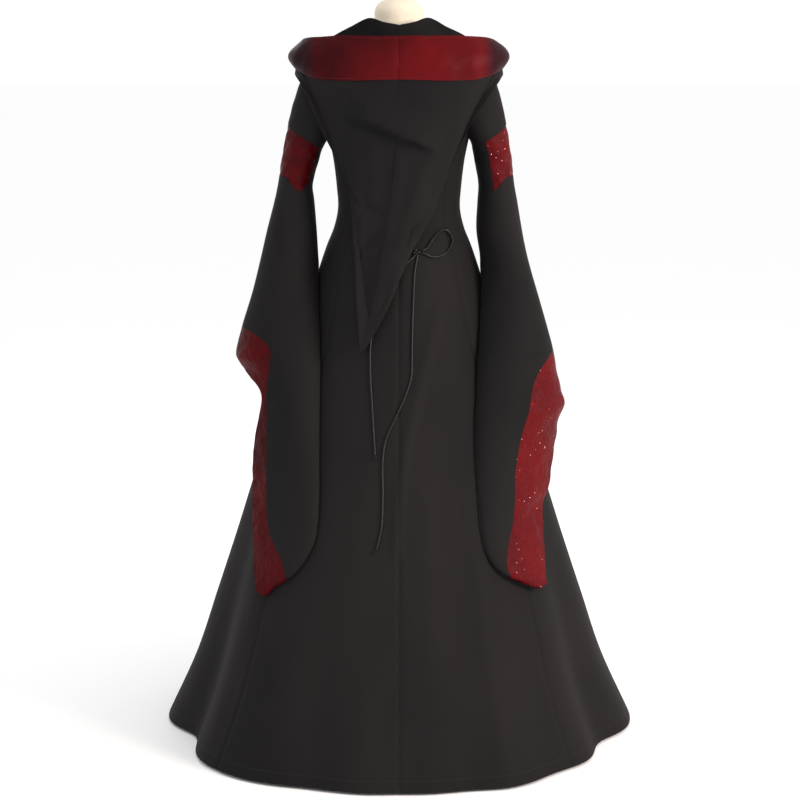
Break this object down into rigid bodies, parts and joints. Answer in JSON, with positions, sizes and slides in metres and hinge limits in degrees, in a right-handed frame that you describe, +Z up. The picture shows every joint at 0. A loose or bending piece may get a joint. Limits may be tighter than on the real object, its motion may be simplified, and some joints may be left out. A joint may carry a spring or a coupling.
{
  "type": "hooded medieval gown on a dress form",
  "caption": "Long black medieval-style gown on a headless dress form, seen from behind: hood thrown back with a deep red satin band, flared bell sleeves with red bands, floor-length skirt.",
  "frame": {"origin": "on the floor under the centre of the form's base plate", "axes": "+Z up, -Y the wearer's front, +X the wearer's left; the picture looks along -Y at the back"},
  "size_m": [0.9812, 0.9489, 1.5],
  "materials": {
    "black_cloth": "soft black cloth with a faint sheen and fine folds",
    "red_satin": "deep red crinkled satin, glossy on the folds",
    "black_cord": "shiny black satin cord",
    "form_cover": "cream jersey stretched over the form, matt",
    "stand_paint": "black painted steel, satin"
  },
  "bodies": {
    "root": {"back_left": "black_cloth", "back_right": "black_cloth", "side_back_left": "black_cloth", "side_back_right": "black_cloth", "side_front_right": "black_cloth", "side_front_left": "black_cloth", "front": "black_cloth", "upper_sleeve_left": "black_cloth", "arm_band_left": "red_satin", "underarm_strip_left": "black_cloth", "bell_left": "black_cloth", "hem_band_left": "red_satin", "upper_sleeve_right": "black_cloth", "arm_band_right": "red_satin", "underarm_strip_right": "black_cloth", "bell_right": "black_cloth", "hem_band_right": "red_satin", "hood_band_left": "red_satin", "hood_left": "black_cloth", "hood_band_right": "red_satin", "hood_right": "black_cloth", "dress_form": "form_cover", "stand_pole": "stand_paint", "stand_base": "stand_paint", "bow_knot": "black_cord", "bow_loop": "black_cord", "lace_tail_long": "black_cord", "lace_end_long": "black_cord", "lace_tail_short": "black_cord", "lace_end_short": "black_cord"}
  },
  "joints": []
}
